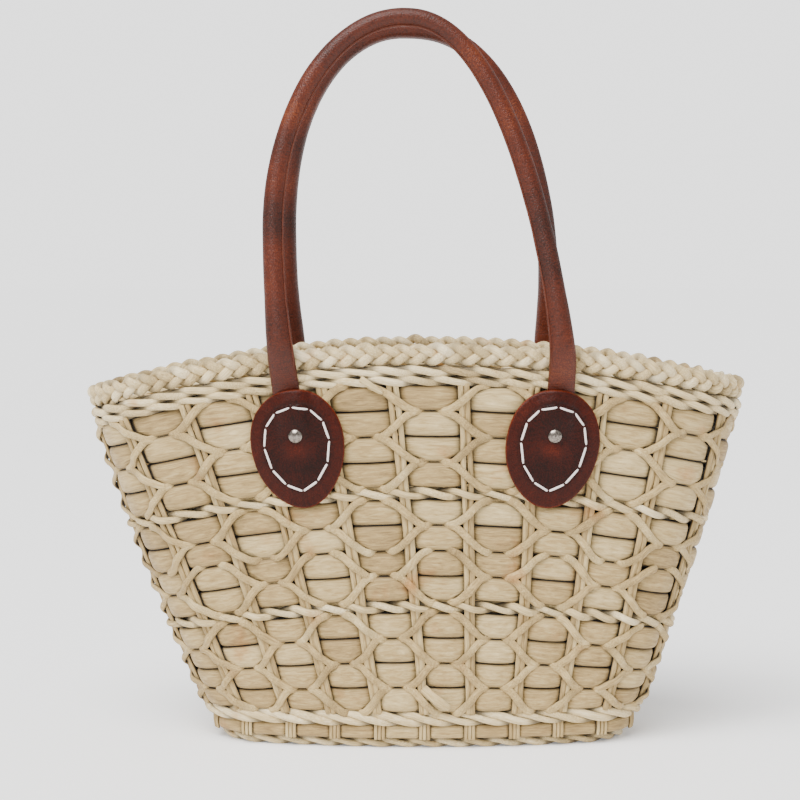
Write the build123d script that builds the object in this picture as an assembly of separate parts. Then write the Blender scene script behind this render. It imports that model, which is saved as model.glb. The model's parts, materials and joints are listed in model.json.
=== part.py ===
from build123d import *
import os
from math import asin, cos, exp, pi, radians, sin, tan

# Beach bag: a maize-husk basket with two soft leather tube handles. Millimetres.
# +Z is up and the front face looks along -Y, so +X is to the right of someone who faces it.
# The origin is the middle of the flat underside.
#
# The basket is a stack of husk rows. Each row is a ring, and its joints with its neighbours
# arch up in the middle of each face. Pairs of cord stakes stand on the outside of the rows,
# and one binding cord per row ties them down. An oval is (half width, half depth, end radius):
# two shallow arcs for the faces and two tight ones for the ends, all tangent.

# Basket, measured to the outside of the husk rows.
rim_half_width = 215.0
rim_half_depth = 77.0
rim_end_radius = 60.0
foot_half_width = 141.0
foot_half_depth = 56.0
foot_end_radius = 44.0
wall_thickness = 8.0

# Heights of the pieces in the wall, at the middle of a face, from the floor up.
bottom_rope_size = 6.5
foot_husk_height = 9.0
border_rope_size = 8.5
row_height = 16.0
rows_per_band = 4
twined_rope_height = 7.6
rim_rope_height = 5.6
braid_height = 14.4
base_panel_thickness = 7.0

# How far the joints between rows fall towards the ends, and how soon they reach that.
crown = 26.0
crown_run = 60.0

# Offsets of the foot's rings from the oval that the wall stands on.
border_rope_reach = 0.5
foot_husk_inset = 4.0
bottom_rope_inset = 10.0
rim_reach = 4.5

# Stakes and binding cords.
pair_count = 22
stake_phase = -0.4
stake_diameter = 3.7
stake_gap = 0.1
cord_width = 5.0
cord_thickness = 1.2
end_gap = 0.3

# Leather tabs. tab_column is how many columns of stakes the tab stands from the middle.
tab_column = 1.87
rivet_height = 201.5
tab_half_width = 29.0
tab_above = 32.4
tab_below = 39.7
tab_centre_drop = 5.0
tab_thickness = 5.0
tab_gap = 0.2
stitch_inset = 8.6
stitch_count = 12
stitch_width = 2.0
stitch_height = 1.0
stitch_spacing = 1.2
patch_inset = 6.0
patch_thickness = 1.5
patch_gap = 1.0

# Rivets.
rivet_head_radius = 4.5
rivet_head_height = 2.6
rivet_post_radius = 1.5
post_clearance = 0.2
back_cap_radius = 4.5
back_cap_height = 2.0
back_cap_seat = 1.2

# Handles.
tube_radius = 7.0
sleeve_wall = 1.6
core_clearance = 0.1
tongue_width = 17.0
tongue_thickness = 3.0
tongue_below = 15.0
tongue_above = 28.5
neck_length = 12.0
neck_splay = 8.0
tube_gap = 0.3
hinge_below_rim = 0.8
handle_reach = 213.0
handle_lean = 16.0
leg_lean = 3.5
shoulder_turn = 27.0
shoulder_radius = 200.0
swing_in = 5.0

# Worked out from the sizes above.
border_height = bottom_rope_size + foot_husk_height + border_rope_size
band_height = rows_per_band * row_height
lower_rope_level = border_height + band_height
upper_rope_level = lower_rope_level + twined_rope_height + band_height
rim_rope_level = upper_rope_level + twined_rope_height + band_height
braid_level = rim_rope_level + 2 * rim_rope_height
rim_level = braid_level + braid_height
hinge_height = rim_level - hinge_below_rim
wall_height = rim_level - border_height
foot_oval = (foot_half_width, foot_half_depth, foot_end_radius)
rim_oval = (rim_half_width, rim_half_depth, rim_end_radius)
stake_radius = stake_diameter / 2
cord_face = stake_diameter + 2 * stake_gap + cord_thickness
tab_standoff = cord_face + tab_gap
hinge_offset = tube_radius + tube_gap
reach = 2 * rim_half_width


# ---- Ovals ----


def grown(oval, offset):
    """The same oval, offset outwards."""
    return tuple(size + offset for size in oval)


def oval_segments(oval):
    """(centre x, centre y, radius, start angle, turn) of each arc, from the front's middle round by +X."""
    half_width, half_depth, end_radius = oval
    run = half_width - end_radius
    rise = half_depth - end_radius
    face_radius = run * run / (2 * rise) + (half_depth + end_radius) / 2
    turn = asin(run / (face_radius - end_radius))
    face_centre = face_radius - half_depth
    quarter = pi / 2
    return [
        (0, face_centre, face_radius, -quarter, turn),
        (run, 0, end_radius, turn - quarter, pi - 2 * turn),
        (0, -face_centre, face_radius, quarter - turn, 2 * turn),
        (-run, 0, end_radius, quarter + turn, pi - 2 * turn),
        (0, face_centre, face_radius, 3 * quarter - turn, turn),
    ]


def oval_at(oval, place):
    """The point, and the angle of the outward normal, at place = (segment, fraction of it)."""
    segment, fraction = place
    x, y, radius, start, turn = oval_segments(oval)[segment]
    angle = start + fraction * turn
    return x + radius * cos(angle), y + radius * sin(angle), angle


def oval_length(oval):
    return sum(radius * turn for _, _, radius, _, turn in oval_segments(oval))


def oval_place(oval, distance):
    """The place that lies this far round the oval from the front's middle."""
    distance %= oval_length(oval)
    for segment, (_, _, radius, _, turn) in enumerate(oval_segments(oval)):
        if distance <= radius * turn:
            return segment, distance / (radius * turn)
        distance -= radius * turn
    return segment, 1.0


def oval_distance(oval, place):
    segment, fraction = place
    lengths = [radius * turn for _, _, radius, _, turn in oval_segments(oval)]
    return sum(lengths[:segment]) + fraction * lengths[segment]


def oval_face(oval, height=0.0):
    """A flat face with this outline, as four arcs that start at the same corners on every oval."""
    corners = [oval_at(oval, (segment, 1.0))[:2] for segment in range(4)]
    middles = [oval_at(oval, (segment, 0.5))[:2] for segment in (1, 2, 3)]
    middles.append(oval_at(oval, (0, 0.0))[:2])
    arcs = []
    for index in range(4):
        arcs.append(ThreePointArc(corners[index], middles[index], corners[(index + 1) % 4]))
    return Pos(0, 0, height) * make_face(arcs)


def oval_plate(oval, low, high):
    return extrude(oval_face(oval, low), amount=high - low)


def rope_ring(oval, centre_height, radius):
    """A round rope laid along an oval."""
    path = oval_face(oval, centre_height).wire()
    section = Plane(origin=path @ 0, z_dir=path % 0) * Circle(radius)
    return sweep(section, path=path)


# ---- The wall and its rows ----


def half_width_at(level):
    share = (level - border_height) / wall_height
    return foot_half_width + share * (rim_half_width - foot_half_width)


def crown_drop(level):
    """How much lower a joint at this height is at the bag's ends than at the middle of a face."""
    if level <= border_height:
        return 0.0
    return crown * (1 - exp(-(level - border_height) / crown_run))


def level_at(level, x):
    """The height of a crowned joint at this x."""
    return level - crown_drop(level) * (x / half_width_at(level)) ** 2


def joint_line(level):
    """The joint's line across a face, in the plane of X and Z. The foot's is flat, at the floor."""
    end_height = level_at(level, reach)
    if crown_drop(level) == 0.0:
        return Line((-reach, 0), (reach, 0))
    return ThreePointArc((-reach, end_height), (0, level), (reach, end_height))


def crowned_slab(low, high):
    """Everything between two joints, wide enough to hold the whole bag."""
    lower, upper = joint_line(low), joint_line(high)
    left = Line(lower @ 0, upper @ 0)
    right = Line(lower @ 1, upper @ 1)
    outline = Plane.XZ * make_face([lower, right, upper, left])
    return extrude(outline, amount=2 * rim_half_depth, both=True)


def wall_shell(outer_offset):
    """The whole wall as one tapered ring, from the border up past the rim."""
    outer_foot, outer_rim = grown(foot_oval, outer_offset), grown(rim_oval, outer_offset)
    inner_foot, inner_rim = grown(foot_oval, -wall_thickness), grown(rim_oval, -wall_thickness)
    outside = loft([oval_face(outer_foot, border_height), oval_face(outer_rim, rim_level)], ruled=True)
    inside = loft([oval_face(inner_foot, border_height), oval_face(inner_rim, rim_level)], ruled=True)
    return outside - inside


def on_wall(column, level, sideways=0.0, outwards=0.0):
    """A plane on the husk face: local X runs round the bag, Y up the wall and Z out of it."""
    rim_distance = column / pair_count * oval_length(rim_oval)
    foot_distance = oval_distance(foot_oval, oval_place(rim_oval, rim_distance))
    foot = oval_at(foot_oval, oval_place(foot_oval, foot_distance + sideways))
    rim = oval_at(rim_oval, oval_place(rim_oval, rim_distance + sideways))
    share = (level - border_height) / wall_height
    foot_point = Vector(foot[0], foot[1], border_height)
    rim_point = Vector(rim[0], rim[1], rim_level)
    up = (rim_point - foot_point).normalized()
    angle = foot[2] + share * (rim[2] - foot[2])
    flat_normal = Vector(cos(angle), sin(angle), 0)
    normal = (flat_normal - up * flat_normal.dot(up)).normalized()
    point = foot_point + (rim_point - foot_point) * share + normal * outwards
    return Plane(origin=point, x_dir=up.cross(normal), z_dir=normal)


def wall_slices():
    """{name: (low joint, high joint)} of the rows and ropes, from the border up."""
    found, level, row = {}, border_height, 3 * rows_per_band
    for rope in ("lower_twined_rope", "upper_twined_rope", None):
        for _ in range(rows_per_band):
            found[f"husk_row_{row:02d}"] = (level, level + row_height)
            level += row_height
            row -= 1
        if rope:
            found[rope] = (level, level + twined_rope_height)
            level += twined_rope_height
    return found


def rim_slices():
    lower_top = rim_rope_level + rim_rope_height
    return {
        "rim_rope_lower": (rim_rope_level, lower_top),
        "rim_rope_upper": (lower_top, braid_level),
        "rim_braid": (braid_level, rim_level),
    }


# ---- The foot ----


def base_panel():
    """The woven floor, inside the bottom rope."""
    edge = grown(foot_oval, -bottom_rope_inset - bottom_rope_size)
    return oval_plate(edge, 0, base_panel_thickness)


def bottom_rope():
    middle = grown(foot_oval, -bottom_rope_inset - bottom_rope_size / 2)
    return rope_ring(middle, bottom_rope_size / 2, bottom_rope_size / 2)


def foot_husk():
    """The ring of short husk pads between the two foot ropes."""
    outer = grown(foot_oval, -foot_husk_inset)
    inner = grown(foot_oval, -foot_husk_inset - wall_thickness)
    top = bottom_rope_size + foot_husk_height
    return oval_plate(outer, bottom_rope_size, top) - oval_plate(inner, bottom_rope_size, top)


def border_rope():
    middle = grown(foot_oval, border_rope_reach - border_rope_size / 2)
    return rope_ring(middle, border_height - border_rope_size / 2, border_rope_size / 2)


# ---- Stakes and binding cords ----


def stake(column, side):
    """One cord of a pair, from the border rope to the rim ropes."""
    sideways = side * (stake_radius + stake_gap / 2)
    outwards = stake_radius + stake_gap
    foot = on_wall(column, border_height, sideways, outwards).origin
    rim = on_wall(column, rim_level, sideways, outwards).origin
    top = level_at(rim_rope_level, on_wall(column, rim_rope_level).origin.X) - end_gap
    line = rim - foot
    start = foot + line * (stake_radius / wall_height)
    length = (top - start.Z) / line.Z * line.length
    standing = (Align.CENTER, Align.CENTER, Align.MIN)
    return Plane(origin=start, z_dir=line) * Cylinder(stake_radius, length, align=standing)


def stakes():
    columns = [index + stake_phase for index in range(pair_count)]
    return Compound(children=[stake(column, side) for column in columns for side in (-1, 1)])


def cord_crossing(column, level):
    """A binding cord where it bridges a pair of stakes: a flat loop with a leg on each side."""
    x = on_wall(column, level).origin.X
    plane = on_wall(column, level_at(level, x))
    inner_width = 2 * stake_diameter + 4 * stake_gap
    inner_height = cord_face - cord_thickness - end_gap
    seated = (Align.CENTER, Align.CENTER, Align.MIN)
    outer = Box(inner_width + 2 * cord_thickness, cord_width, inner_height + cord_thickness, align=seated)
    inner = Box(inner_width, 2 * cord_width, inner_height, align=seated)
    return plane * (Pos(0, 0, end_gap) * (outer - inner))


def binding_cords(rows):
    """The crossings of the binding cords of these rows, given as (low joint, high joint)."""
    columns = [index + stake_phase for index in range(pair_count)]
    crossings = [cord_crossing(column, (low + high) / 2) for low, high in rows for column in columns]
    return Compound(children=crossings)


# ---- Tabs and rivets, built for the front right and mirrored to the other three ----


def tab_plane(outwards, turn=0.0):
    """A plane against the wall at the rivet, with its X level, or turned clockwise by so many degrees."""
    wall = on_wall(tab_column, rivet_height, outwards=outwards)
    level = Vector(0, 0, 1).cross(wall.z_dir).normalized()
    upright = wall.z_dir.cross(level)
    across = level * cos(radians(turn)) - upright * sin(radians(turn))
    return Plane(origin=wall.origin, x_dir=across, z_dir=wall.z_dir)


def tongue_plane(outwards):
    """The tab's plane turned so that its Y follows the handle's end, which splays outwards."""
    return tab_plane(outwards, neck_splay)


def egg(inset):
    """The tab's outline: wide above and narrower below, round the rivet."""
    width = tab_half_width - inset
    above = EllipticalCenterArc((0, 0), width, tab_above - inset, start_angle=0, arc_size=180)
    below = EllipticalCenterArc((0, 0), width, tab_below - inset, start_angle=180, arc_size=180)
    return Pos(0, -tab_centre_drop) * make_face([above, below])


def tongue(thickness):
    """The flattened end of a handle's leather tube, lying under the tab."""
    length = tongue_below + tongue_above
    blade = Pos(0, (tongue_above - tongue_below) / 2) * Rectangle(tongue_width, length)
    tip = Pos(0, -tongue_below) * Circle(tongue_width / 2)
    return extrude(blade + tip, amount=thickness)


def rivet_hole(low, high):
    radius = rivet_post_radius + post_clearance
    return extrude(tab_plane(low) * Circle(radius), amount=high - low)


def tab():
    plate = extrude(tab_plane(tab_standoff) * egg(0), amount=tab_thickness)
    pocket = tongue_plane(tab_standoff) * tongue(tongue_thickness)
    top = tab_standoff + tab_thickness
    return plate - pocket - rivet_hole(tab_standoff, top)


def stitches():
    """The running stitch round the tab: short lengths of thread that lie on the leather."""
    route = egg(stitch_inset).wire()
    length = route.length / stitch_count - stitch_spacing
    threads = []
    for index in range(stitch_count):
        spot = (index + 0.5) / stitch_count
        across = route % spot
        lying = Plane(origin=route @ spot, x_dir=across, z_dir=(0, 0, 1))
        threads.append(lying * extrude(SlotOverall(length, stitch_width), amount=stitch_height))
    surface = tab_plane(tab_standoff + tab_thickness)
    return Compound(children=[surface * thread for thread in threads])


def patch_face():
    """How far inside the husk face the patch's outer side lies."""
    return -wall_thickness - patch_gap


def backing_patch():
    low = patch_face() - patch_thickness
    plate = extrude(tab_plane(low) * egg(patch_inset), amount=patch_thickness)
    return plate - rivet_hole(low, patch_face())


def rivet():
    """A domed head on a post that runs through tab, tube end, wall and patch."""
    face = tab_standoff + tab_thickness
    foot = patch_face() - patch_thickness - back_cap_seat
    post = extrude(tab_plane(foot) * Circle(rivet_post_radius), amount=face - foot)
    ball_radius = (rivet_head_radius**2 + rivet_head_height**2) / (2 * rivet_head_height)
    ball = tab_plane(face + rivet_head_height - ball_radius) * Sphere(ball_radius)
    head = ball & extrude(tab_plane(face) * Circle(rivet_head_radius), amount=2 * rivet_head_height)
    return head + post


def rivet_back_cap():
    face = patch_face() - patch_thickness
    cap = extrude(tab_plane(face - back_cap_height) * Circle(back_cap_radius), amount=back_cap_height)
    seat = extrude(tab_plane(face - back_cap_seat) * Circle(rivet_post_radius), amount=back_cap_seat)
    return cap - seat


# ---- Handles ----


def tube_centre_offset():
    """How far from the husk face the middle of the handle's tube runs past the rim."""
    return cord_face + tube_gap + tube_radius


def hinge_centre():
    """The middle of the right leg where the fixed tube end meets the swinging arch."""
    centreline = tongue_plane(tube_centre_offset())
    run = (hinge_height - centreline.origin.Z) / centreline.y_dir.Z
    return centreline.origin + centreline.y_dir * run


def hinge_axis():
    """(y, z) of the front handle's swing axis: the crease on the outer side of its tubes."""
    return hinge_centre().Y - hinge_offset, hinge_height


def sleeve_end():
    """The fixed end of the leather tube: flat under the tab, then round up to the crease."""
    flat = tongue_plane(tab_standoff) * tongue(tongue_thickness)
    middle = tab_standoff + tongue_thickness / 2
    low = tongue_plane(middle)
    high = tongue_plane(tube_centre_offset())
    low_cut = Plane(origin=low.origin + low.y_dir * tongue_above, x_dir=low.x_dir, z_dir=low.y_dir)
    round_start = high.origin + high.y_dir * (tongue_above + neck_length)
    high_cut = Plane(origin=round_start, x_dir=high.x_dir, z_dir=high.y_dir)
    neck = loft([low_cut * Ellipse(tongue_width / 2, tongue_thickness / 2), high_cut * Circle(tube_radius)])
    tube = extrude(high_cut * Circle(tube_radius), amount=2 * tube_radius + hinge_height - round_start.Z)
    whole = flat + neck + tube - rivet_hole(tab_standoff, tab_standoff + tongue_thickness)
    above = Box(reach, reach, reach, align=(Align.CENTER, Align.CENTER, Align.MIN))
    return whole - Pos(0, 0, hinge_height - tube_gap) * above


def arch_points():
    """The right half of the arch in its own plane: leg foot, shoulder start, shoulder end and top."""
    foot = hinge_centre().X
    lean, turn = radians(leg_lean), radians(shoulder_turn)
    across = foot - shoulder_radius * (cos(lean) - cos(turn))
    upward = handle_reach - shoulder_radius * (sin(turn) - sin(lean))
    divisor = sin(lean) * (1 - sin(turn)) - cos(turn) * cos(lean)
    leg = (across * (1 - sin(turn)) - upward * cos(turn)) / divisor
    leg_end = (foot - leg * sin(lean), leg * cos(lean))
    shoulder_x = leg_end[0] - shoulder_radius * (cos(lean) - cos(turn))
    shoulder_y = leg_end[1] + shoulder_radius * (sin(turn) - sin(lean))
    return foot, leg_end, (shoulder_x, shoulder_y)


def arch_path():
    """The swinging arch from foot to foot, with legs that run on a little past the crease."""
    foot, leg_end, shoulder = arch_points()
    lean = radians(leg_lean)
    overrun = 2 * tube_radius
    start = (foot + overrun * tan(lean), -overrun)
    right_shoulder = TangentArc(leg_end, shoulder, tangent=(-sin(lean), cos(lean)))
    top = ThreePointArc(shoulder, (0, handle_reach), (-shoulder[0], shoulder[1]))
    left_end = (-leg_end[0], leg_end[1])
    left_shoulder = TangentArc((-shoulder[0], shoulder[1]), left_end, tangent=top % 1)
    left_start = (-start[0], start[1])
    return Wire([Line(start, leg_end), right_shoulder, top, left_shoulder, Line(left_end, left_start)])


def arch_tube(radius):
    path = arch_path()
    section = Plane(origin=path @ 0, z_dir=path % 0) * Circle(radius)
    return sweep(section, path=path)


def placed_arch(shape):
    """Stands an arch on its tube ends, leaning in, and cuts its feet clear of them at full inward swing."""
    lean = radians(handle_lean)
    origin = (0, hinge_centre().Y, hinge_height)
    standing = Plane(origin=origin, x_dir=(1, 0, 0), z_dir=(0, -cos(lean), sin(lean))) * shape
    below = Box(reach, reach, reach, align=(Align.CENTER, Align.CENTER, Align.MAX))
    crease_y, crease_z = hinge_axis()
    return standing - Pos(0, crease_y, crease_z + tube_gap) * Rot(swing_in, 0, 0) * below


def handle_sleeve():
    return placed_arch(arch_tube(tube_radius) - arch_tube(tube_radius - sleeve_wall))


def handle_core():
    return placed_arch(arch_tube(tube_radius - sleeve_wall - core_clearance))


# ---- Writing the nodes ----


def to_front_left(shape):
    return mirror(shape, about=Plane.YZ)


def to_back(shape):
    return mirror(shape, about=Plane.XZ)


def add_wall(nodes):
    posts = rivet_hole(-2 * wall_thickness, tab_standoff)
    left = to_front_left(posts)
    posts = [posts, left, to_back(posts), to_back(left)]
    shell = wall_shell(0)
    for post in posts:
        shell -= post
    for name, (low, high) in wall_slices().items():
        nodes[name] = shell & crowned_slab(low, high)
    rim_shell = wall_shell(rim_reach)
    for name, (low, high) in rim_slices().items():
        nodes[name] = rim_shell & crowned_slab(low, high)


def add_cords(nodes):
    nodes["outer_stakes"] = stakes()
    slices = wall_slices()
    bands = ("upper", "middle", "lower")
    for index, band in enumerate(bands):
        first = index * rows_per_band + 1
        rows = [slices[f"husk_row_{row:02d}"] for row in range(first, first + rows_per_band)]
        nodes[f"binding_cords_{band}"] = binding_cords(rows)


def add_corners(nodes):
    makers = {
        "tab": tab,
        "tab_stitching": stitches,
        "backing_patch": backing_patch,
        "rivet": rivet,
        "rivet_back_cap": rivet_back_cap,
        "sleeve_end": sleeve_end,
    }
    for name, maker in makers.items():
        right = maker()
        left = to_front_left(right)
        nodes[f"front_right_{name}"] = right
        nodes[f"front_left_{name}"] = left
        nodes[f"back_right_{name}"] = to_back(right)
        nodes[f"back_left_{name}"] = to_back(left)


def add_handles(nodes):
    for name, maker in (("sleeve", handle_sleeve), ("core", handle_core)):
        front = maker()
        nodes[f"front_handle_{name}"] = front
        nodes[f"back_handle_{name}"] = to_back(front)


def all_nodes():
    nodes = {
        "base_panel": base_panel(),
        "bottom_rope": bottom_rope(),
        "foot_husk": foot_husk(),
        "border_rope": border_rope(),
    }
    add_wall(nodes)
    add_cords(nodes)
    add_corners(nodes)
    add_handles(nodes)
    return nodes


os.makedirs("parts", exist_ok=True)
for name, shape in all_nodes().items():
    export_step(shape, f"parts/{name}.step")
axis_y, axis_z = hinge_axis()
print(f"swing axis: y = {axis_y:.2f}, z = {axis_z:.2f}; leg at x = {hinge_centre().X:.2f}")
print(f"tab centre: {tab_plane(0).origin}; rim at z = {rim_level:.2f}")
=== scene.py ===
# %% [markdown]
# # A maize-husk beach bag with leather tube handles
# The bag is a real basket: twelve fat bundles of maize husk run round it as rings, pairs of
# thin cords stand outside them as stakes, and one flat cord for each bundle zigzags over the
# stakes and dives between the bundles. Two twined ropes part the bundles into three bands, and
# ropes and a plait finish the rim. Two leather tubes are riveted and stitched on at egg-shaped tabs.
#
# Everything here is laid out in the weave's own two directions, columns round the bag and
# joints up it, and one function bends those onto the basket's wall. That keeps each piece
# short, and it keeps the pieces in step with each other.

import json
import math

import bpy
import numpy as np
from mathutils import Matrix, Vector


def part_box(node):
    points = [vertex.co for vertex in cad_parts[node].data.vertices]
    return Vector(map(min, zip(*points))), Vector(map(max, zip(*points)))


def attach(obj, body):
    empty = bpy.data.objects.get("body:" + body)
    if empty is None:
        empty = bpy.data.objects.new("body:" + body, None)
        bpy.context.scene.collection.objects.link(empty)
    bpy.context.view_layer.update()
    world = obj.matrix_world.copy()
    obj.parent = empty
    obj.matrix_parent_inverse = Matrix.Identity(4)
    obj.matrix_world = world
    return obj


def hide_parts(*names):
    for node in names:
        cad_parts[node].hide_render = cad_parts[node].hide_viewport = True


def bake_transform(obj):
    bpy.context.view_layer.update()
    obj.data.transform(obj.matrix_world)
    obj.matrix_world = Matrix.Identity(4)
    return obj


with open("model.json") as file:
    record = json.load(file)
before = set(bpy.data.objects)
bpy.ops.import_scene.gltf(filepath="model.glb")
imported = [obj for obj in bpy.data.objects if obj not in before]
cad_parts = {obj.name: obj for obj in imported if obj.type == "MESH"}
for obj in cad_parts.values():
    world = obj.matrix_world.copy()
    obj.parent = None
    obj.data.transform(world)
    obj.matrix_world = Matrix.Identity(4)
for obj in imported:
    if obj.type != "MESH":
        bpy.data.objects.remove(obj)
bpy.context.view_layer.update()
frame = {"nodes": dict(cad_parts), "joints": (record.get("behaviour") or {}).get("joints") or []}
MM = 0.001

# %% [markdown]
# ## Camera, light and floor
# A product shot of this kind is taken with a long lens from a little above the rim, so the
# rings look nearly level. The studio is white all round, with a big soft light above and in
# front, so that the only shadow is a soft one under the foot.

# %% Camera
camera_data = bpy.data.cameras.new("camera")
camera = bpy.data.objects.new("camera", camera_data)
bpy.context.collection.objects.link(camera)
camera_data.sensor_width = 36.0
camera_data.lens = 98.9
camera.location = (-0.0155, -1.424, 0.303)
camera.rotation_euler = (math.radians(90 - 3.45), 0, 0)
bpy.context.scene.camera = camera

# %% Small helpers for materials
def linear(code):
    """A '#rrggbb' sRGB colour as the linear RGBA that shaders work in."""
    parts = [int(code[i : i + 2], 16) / 255 for i in (1, 3, 5)]
    return tuple(p / 12.92 if p <= 0.04045 else ((p + 0.055) / 1.055) ** 2.4 for p in parts) + (1.0,)


def node(tree, kind, links=(), **settings):
    """Adds a shader node. settings name its properties or inputs; links are (input, other node's output)."""
    made = tree.nodes.new(kind)
    for name, value in settings.items():
        plain = name.replace("_", " ")
        if hasattr(made, name) and name not in made.inputs:
            setattr(made, name, value)
        elif plain in made.inputs:
            made.inputs[plain].default_value = value
        else:
            made.inputs[name].default_value = value
    for target, source in links:
        tree.links.new(made.inputs[target], source)
    return made


def ramp(tree, source, stops):
    """A colour ramp over [(position, '#rrggbb'), ...]."""
    made = node(tree, "ShaderNodeValToRGB", [("Fac", source)])
    elements = made.color_ramp.elements
    while len(elements) < len(stops):
        elements.new(0.5)
    for element, (position, code) in zip(elements, stops):
        element.position = position
        element.color = linear(code)
    return made.outputs["Color"]


def new_material(name):
    material = bpy.data.materials.new(name)
    material.use_nodes = True
    tree = material.node_tree
    tree.nodes.clear()
    output = node(tree, "ShaderNodeOutputMaterial")
    shader = node(tree, "ShaderNodeBsdfPrincipled")
    tree.links.new(output.inputs["Surface"], shader.outputs["BSDF"])
    return material, tree, shader


# %% Floor, world and lights
def plane_mesh(name, half, height):
    mesh = bpy.data.meshes.new(name)
    corners = [(-half, -half, height), (half, -half, height), (half, half, height), (-half, half, height)]
    mesh.from_pydata(corners, [], [(0, 1, 2, 3)])
    made = bpy.data.objects.new(name, mesh)
    bpy.context.collection.objects.link(made)
    return made


floor = plane_mesh("floor", 30.0, 0.0)
floor_material, tree, shader = new_material("painted_floor")
shader.inputs["Base Color"].default_value = (0.92, 0.92, 0.92, 1)
shader.inputs["Roughness"].default_value = 0.9
shader.inputs["Specular IOR Level"].default_value = 0.1
shader.inputs["Emission Color"].default_value = (1, 1, 1, 1)
shader.inputs["Emission Strength"].default_value = 0.25
floor.data.materials.append(floor_material)

world = bpy.data.worlds.new("studio")
bpy.context.scene.world = world
world.use_nodes = True
sky = world.node_tree
fill = sky.nodes["Background"]
fill.inputs["Color"].default_value = (1, 1, 1, 1)
fill.inputs["Strength"].default_value = 0.82
backdrop = node(sky, "ShaderNodeBackground", Color=(1, 1, 1, 1), Strength=2.2)
seen = node(sky, "ShaderNodeLightPath")
both = node(
    sky,
    "ShaderNodeMixShader",
    [(0, seen.outputs["Is Camera Ray"]), (1, fill.outputs[0]), (2, backdrop.outputs[0])],
)
sky.links.new(sky.nodes["World Output"].inputs["Surface"], both.outputs[0])


def softbox(name, place, aim, size, power):
    data = bpy.data.lights.new(name, "AREA")
    data.shape = "SQUARE"
    data.size = size
    data.energy = power
    lamp = bpy.data.objects.new(name, data)
    bpy.context.collection.objects.link(lamp)
    lamp.location = place
    lamp.rotation_euler = (Vector(aim) - Vector(place)).to_track_quat("-Z", "Y").to_euler()
    return lamp


softbox("key", (-0.8, -1.2, 2.0), (0, 0, 0.2), 0.7, 20)

# The ceiling bank: a very soft light that reaches the whole floor evenly
bank_data = bpy.data.lights.new("ceiling_bank", "SUN")
bank_data.energy = 5.0
bank_data.angle = math.radians(50)
bank = bpy.data.objects.new("ceiling_bank", bank_data)
bpy.context.collection.objects.link(bank)
bank.rotation_euler = Vector((0.35, 0.75, -1.2)).to_track_quat("-Z", "Y").to_euler()

# %% [markdown]
# ## The wall as a map
# The CAD rings say where each joint between rows lies. A ring's box gives the joint's height
# at the middle of a face and at the bag's ends, and the half width and half depth of the wall
# there, so the wall's slope is read from two rings. A row is woven round the bag in columns,
# one for each pair of stakes.

# %% The wall's sizes, read from the frame
PAIRS = 22
RIM_END_RADIUS, FOOT_END_RADIUS = 60 * MM, 44 * MM
WALL = 8 * MM
ROW_NAMES = [f"husk_row_{n:02d}" for n in range(1, 13)]


def line_through(first, second):
    """(value at 0, slope) of the straight line through two (position, value) pairs."""
    slope = (second[1] - first[1]) / (second[0] - first[0])
    return first[1] - slope * first[0], slope


def low(name):
    return np.array(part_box(name)[0])


def high(name):
    return np.array(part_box(name)[1])


# A row is widest at its top edge, which is where the row above starts
width_line = line_through(
    (low("husk_row_11")[2], high("husk_row_12")[0]),
    (low("husk_row_01")[2], high("husk_row_02")[0]),
)
depth_line = line_through(
    (high("husk_row_12")[2], high("husk_row_12")[1]),
    (high("husk_row_01")[2], high("husk_row_01")[1]),
)
FOOT_LEVEL = low("husk_row_12")[2]
RIM_LEVEL = high("rim_braid")[2]


def oval_arcs(half_width, half_depth, end_radius):
    """(centre x, centre y, radius, start angle, turn) of the oval's arcs, from the front's middle."""
    run, rise = half_width - end_radius, half_depth - end_radius
    face = run * run / (2 * rise) + (half_depth + end_radius) / 2
    turn, q = math.asin(run / (face - end_radius)), math.pi / 2
    up = face - half_depth
    return [
        (0, up, face, -q, turn),
        (run, 0, end_radius, turn - q, math.pi - 2 * turn),
        (0, -up, face, q - turn, 2 * turn),
        (-run, 0, end_radius, q + turn, math.pi - 2 * turn),
        (0, up, face, 3 * q - turn, turn),
    ]


def oval_samples(level, end_radius, steps=200):
    """Points, normal angles and distances round the wall's oval at this height."""
    half_width = width_line[0] + width_line[1] * level
    half_depth = depth_line[0] + depth_line[1] * level
    points, angles, lengths, total = [], [], [], 0.0
    for x, y, radius, start, turn in oval_arcs(half_width, half_depth, end_radius):
        for share in np.linspace(0, 1, steps, endpoint=False):
            angle = start + share * turn
            points.append((x + radius * math.cos(angle), y + radius * math.sin(angle)))
            angles.append(angle)
            lengths.append(total + share * radius * turn)
        total += radius * turn
    points.append(points[0])
    angles.append(angles[0] + 2 * math.pi)
    lengths.append(total)
    return np.array(points), np.array(angles), np.array(lengths)


foot_points, _, _ = oval_samples(FOOT_LEVEL, FOOT_END_RADIUS)
rim_points, rim_angles, rim_lengths = oval_samples(RIM_LEVEL, RIM_END_RADIUS)
COLUMN = rim_lengths[-1] / PAIRS
print(f"rim is {rim_lengths[-1]:.3f} m round, so a column is {COLUMN / MM:.1f} mm wide there")

# %% [markdown]
# The rings follow a crown: each joint is highest in the middle of a face and falls towards the
# ends. A handmade basket is never square either. The stakes lean a little to one side on their
# way up, the wall swells in the middle, and the left end has slumped and splayed further than
# the right. All of that goes into one function, so every piece sags together.

# %% From weave coordinates to the wall
LEAN = -0.39  # how many columns the stakes lean from foot to rim
LEAN_AT_FOOT = -0.02
SWELL = 4.5 * MM  # of a face at mid-height
END_SLUMP = 7 * MM
END_SPLAY = 3 * MM
SIDE_LEAN = -4.5 * MM

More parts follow.
